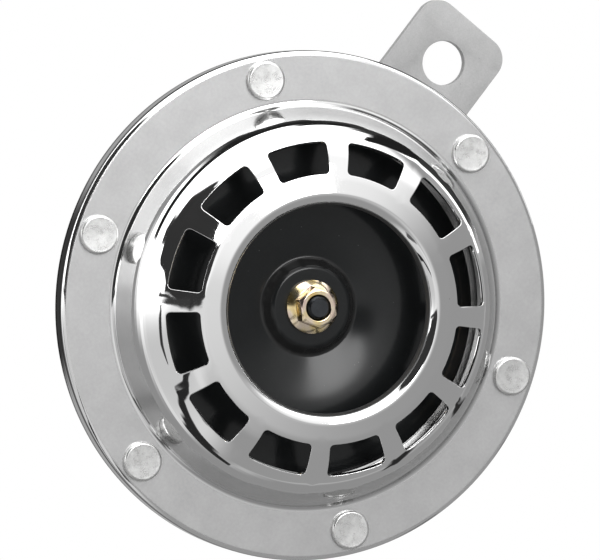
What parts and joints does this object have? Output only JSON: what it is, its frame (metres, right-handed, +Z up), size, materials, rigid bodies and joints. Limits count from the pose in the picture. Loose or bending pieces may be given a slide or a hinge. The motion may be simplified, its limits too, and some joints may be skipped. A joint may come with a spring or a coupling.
{
  "type": "car horn",
  "caption": "Round electric disc horn with a bright pressed grille, black tone disc and a flat steel bracket with one fixing hole.",
  "frame": {"origin": "centre of the fixing hole in the bracket, half way through the strip", "axes": "+Z up along the bracket, away from the horn; -Y out of the horn's mouth; +Y along the fixing hole, towards the back"},
  "size_m": [0.1116, 0.0604, 0.1347],
  "materials": {
    "cover_chrome": "bright plated pressing, satin on the flat flange",
    "rivet_steel": "matte bright, hammered heads",
    "gasket_fibre": "pressed fibre, oiled",
    "diaphragm_steel": "blued spring steel",
    "housing_paint": "black paint, semi-gloss",
    "tone_disc_paint": "black paint, gloss",
    "nut_zinc": "yellow passivated zinc",
    "stud_black": "blackened steel",
    "plated_steel": "bright zinc plate",
    "bracket_zinc": "satin zinc plate, faintly mottled",
    "soft_iron": "turned, bare",
    "bobbin_plastic": "moulded",
    "copper_wire": "enamelled copper",
    "insulator_fibre": "phenolic laminate",
    "spring_bronze": "rolled bronze",
    "contact_metal": "tungsten",
    "terminal_brass": "tinned brass",
    "block_plastic": "moulded black"
  },
  "bodies": {
    "horn": {"grille_cover": "cover_chrome", "flange_rivets": "rivet_steel", "front_gasket": "gasket_fibre", "rear_gasket": "gasket_fibre", "diaphragm": "diaphragm_steel", "housing": "housing_paint", "core_stud": "plated_steel", "coil_bobbin": "bobbin_plastic", "coil_winding": "copper_wire", "pole_plate": "soft_iron", "pole_plate_rivets": "rivet_steel", "contact_spring": "spring_bronze", "fixed_contact_arm": "plated_steel", "base_insulator": "insulator_fibre", "middle_insulator": "insulator_fibre", "top_insulator": "insulator_fibre", "contact_rivets": "rivet_steel", "moving_contact": "contact_metal", "fixed_contact": "contact_metal", "adjuster_bush": "plated_steel", "adjusting_screw": "plated_steel", "adjuster_cap": "insulator_fibre", "terminal_block": "block_plastic", "spade_terminals": "terminal_brass", "terminal_rivets": "rivet_steel", "mounting_bracket": "bracket_zinc", "backing_washer": "plated_steel", "flat_washer": "plated_steel", "spring_washer": "plated_steel", "bracket_nut": "plated_steel"},
    "vibrating_unit": {"tone_disc": "tone_disc_paint", "tone_disc_nut": "nut_zinc", "armature_stud": "stud_black", "diaphragm_front_washer": "plated_steel", "diaphragm_rear_washer": "plated_steel", "tone_disc_spacer": "plated_steel", "armature": "soft_iron"}
  },
  "joints": [
    {"name": "diaphragm_stroke", "type": "slide", "parent": "horn", "child": "vibrating_unit", "axis": [0, -1, 0], "range_m": [-0.0005, 0.0003], "stiffness_N_per_m": 60000, "deforming": ["diaphragm", "contact_spring"]}
  ]
}
